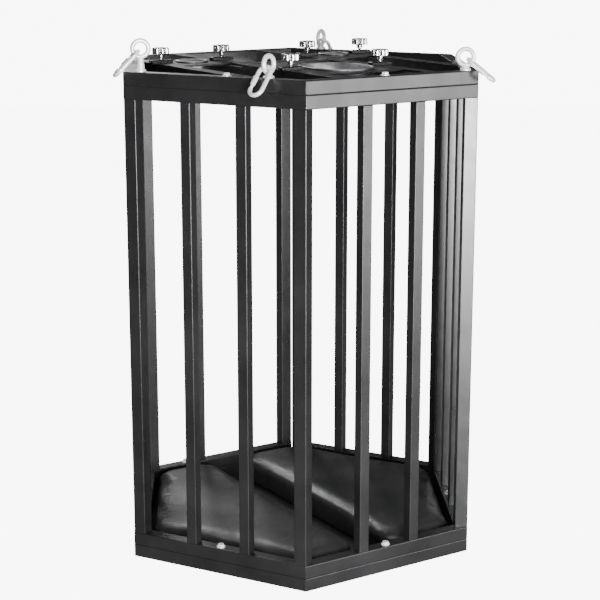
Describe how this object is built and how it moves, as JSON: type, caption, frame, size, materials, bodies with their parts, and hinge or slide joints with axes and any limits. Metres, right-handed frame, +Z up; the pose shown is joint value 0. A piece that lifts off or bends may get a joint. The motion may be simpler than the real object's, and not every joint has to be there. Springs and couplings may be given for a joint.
{
  "type": "barred steel cage",
  "caption": "Free-standing hexagonal cage of black square steel tube with a hinged door, floor cushions, split sliding collars in its lid, star knobs and lifting eyes with carabiners.",
  "frame": {"origin": "centre of the hexagonal base, in the plane of its underside", "axes": "+Z up, one corner of the hexagon towards -Y, two sides square to X"},
  "size_m": [0.8364, 0.9178, 1.1975],
  "materials": {
    "black_paint": "satin black powder coat",
    "floor_paint": "satin black powder coat",
    "leatherette": "glossy black leatherette with fine grain",
    "polished_steel": "polished",
    "polished_rim": "polished",
    "zinc": "bright zinc plate",
    "bare_steel": "dark steel with bright edges"
  },
  "bodies": {
    "cage": {"base_rails": "black_paint", "floor_sheet": "floor_paint", "front_cushion": "leatherette", "rear_cushion": "leatherette", "hinge_pins": "black_paint", "door_bolt_keeper": "black_paint", "lid_rails": "black_paint", "lid_members": "black_paint", "collar_ledges": "black_paint", "clamp_bars": "bare_steel", "weld_nuts": "zinc", "side_bolts": "zinc", "washers_and_nuts": "zinc", "fixed_collar_plates": "black_paint", "fixed_collar_rims": "polished_rim", "front_left_rails": "black_paint", "front_left_bars": "black_paint", "front_left_posts": "black_paint", "front_right_rails": "black_paint", "front_right_bars": "black_paint", "right_rails": "black_paint", "right_bars": "black_paint", "right_posts": "black_paint", "rear_left_rails": "black_paint", "rear_left_bars": "black_paint", "rear_left_posts": "black_paint", "left_rails": "black_paint", "left_bars": "black_paint", "left_lifting_eye": "zinc", "front_lifting_eye": "zinc", "right_lifting_eye": "zinc", "rear_lifting_eye": "zinc"},
    "door": {"door_rails": "black_paint", "door_stiles": "black_paint", "door_bars": "black_paint", "hinge_sockets": "black_paint", "door_bolt_housing": "black_paint"},
    "door_bolt": {"door_bolt": "zinc"},
    "left_collar": {"left_collar_plate": "black_paint", "left_collar_rim": "polished_rim"},
    "rear_collar": {"rear_collar_plate": "black_paint", "rear_collar_rim": "polished_rim"},
    "front_collar": {"front_collar_plate": "black_paint", "front_collar_rim": "polished_rim"},
    "knob_1": {"star_knob_1": "polished_steel"},
    "knob_2": {"star_knob_2": "polished_steel"},
    "knob_3": {"star_knob_3": "polished_steel"},
    "knob_4": {"star_knob_4": "polished_steel"},
    "knob_5": {"star_knob_5": "polished_steel"},
    "knob_6": {"star_knob_6": "polished_steel"},
    "left_hook": {"left_carabiner": "zinc"},
    "left_gate": {"left_carabiner_gate": "zinc"},
    "front_hook": {"front_carabiner": "zinc"},
    "front_gate": {"front_carabiner_gate": "zinc"},
    "right_hook": {"right_carabiner": "zinc"},
    "right_gate": {"right_carabiner_gate": "zinc"},
    "rear_hook": {"rear_carabiner": "zinc"},
    "rear_gate": {"rear_carabiner_gate": "zinc"}
  },
  "joints": [
    {"name": "door_hinge", "type": "hinge", "parent": "cage", "child": "door", "pos_m": [0.38471, 0.20554, 0], "axis": [0, 0, -1], "range_deg": [0, 100]},
    {"name": "door_bolt_slide", "type": "slide", "parent": "door", "child": "door_bolt", "axis": [0, 0, 1], "range_m": [-0.022, 0]},
    {"name": "left_collar_slide", "type": "slide", "parent": "cage", "child": "left_collar", "axis": [0.5, -0.866, 0], "range_m": [0, 0.06]},
    {"name": "rear_collar_slide", "type": "slide", "parent": "cage", "child": "rear_collar", "axis": [0.5, -0.866, 0], "range_m": [0, 0.06]},
    {"name": "front_collar_slide", "type": "slide", "parent": "cage", "child": "front_collar", "axis": [0.5, -0.866, 0], "range_m": [0, 0.075]},
    {"name": "knob_1_turn", "type": "hinge", "parent": "cage", "child": "knob_1", "pos_m": [-0.31522, -0.01802, 1.125], "axis": [0, 0, 1], "continuous": true},
    {"name": "knob_2_turn", "type": "hinge", "parent": "cage", "child": "knob_2", "pos_m": [-0.17666, 0.06198, 1.125], "axis": [0, 0, 1], "continuous": true},
    {"name": "knob_3_turn", "type": "hinge", "parent": "cage", "child": "knob_3", "pos_m": [0.03119, 0.18198, 1.125], "axis": [0, 0, 1], "continuous": true},
    {"name": "knob_4_turn", "type": "hinge", "parent": "cage", "child": "knob_4", "pos_m": [0.16456, 0.25898, 1.125], "axis": [0, 0, 1], "continuous": true},
    {"name": "knob_5_turn", "type": "hinge", "parent": "cage", "child": "knob_5", "pos_m": [-0.02315, -0.20389, 1.125], "axis": [0, 0, 1], "continuous": true},
    {"name": "knob_6_turn", "type": "hinge", "parent": "cage", "child": "knob_6", "pos_m": [0.18469, -0.08389, 1.125], "axis": [0, 0, 1], "continuous": true},
    {"name": "left_carabiner_swing", "type": "hinge", "parent": "cage", "child": "left_hook", "pos_m": [-0.35017, -0.23051, 1.175], "axis": [-0.1736, 0.9848, 0], "range_deg": [0, 225]},
    {"name": "left_gate_hinge", "type": "hinge", "parent": "left_hook", "child": "left_gate", "pos_m": [-0.39455, -0.2231, 1.13257], "axis": [0.6964, 0.1228, -0.7071], "range_deg": [0, 25], "stiffness_Nm_per_rad": 0.3, "springref_deg": -17.19},
    {"name": "front_carabiner_swing", "type": "hinge", "parent": "cage", "child": "front_hook", "pos_m": [-0.07564, -0.38901, 1.154], "axis": [-0.788, 0.6157, 0], "range_deg": [0, 225]},
    {"name": "front_gate_hinge", "type": "hinge", "parent": "front_hook", "child": "front_gate", "pos_m": [-0.11218, -0.41141, 1.10941], "axis": [0.4575, 0.5856, -0.6691], "range_deg": [0, 25], "stiffness_Nm_per_rad": 0.3, "springref_deg": -17.19},
    {"name": "right_carabiner_swing", "type": "hinge", "parent": "cage", "child": "right_hook", "pos_m": [0.35969, -0.22501, 1.154], "axis": [-0.2079, -0.9781, 0], "range_deg": [0, 225]},
    {"name": "right_gate_hinge", "type": "hinge", "parent": "right_hook", "child": "right_gate", "pos_m": [0.40219, -0.24938, 1.11624], "axis": [-0.6156, 0.1308, -0.7771], "range_deg": [0, 25], "stiffness_Nm_per_rad": 0.3, "springref_deg": -17.19},
    {"name": "rear_carabiner_swing", "type": "hinge", "parent": "cage", "child": "rear_hook", "pos_m": [0.07564, 0.38901, 1.154], "axis": [0.866, -0.5, 0], "range_deg": [0, 225]},
    {"name": "rear_gate_hinge", "type": "hinge", "parent": "rear_hook", "child": "rear_gate", "pos_m": [0.10751, 0.41421, 1.10737], "axis": [-0.3886, -0.673, -0.6293], "range_deg": [0, 25], "stiffness_Nm_per_rad": 0.3, "springref_deg": -17.19}
  ]
}
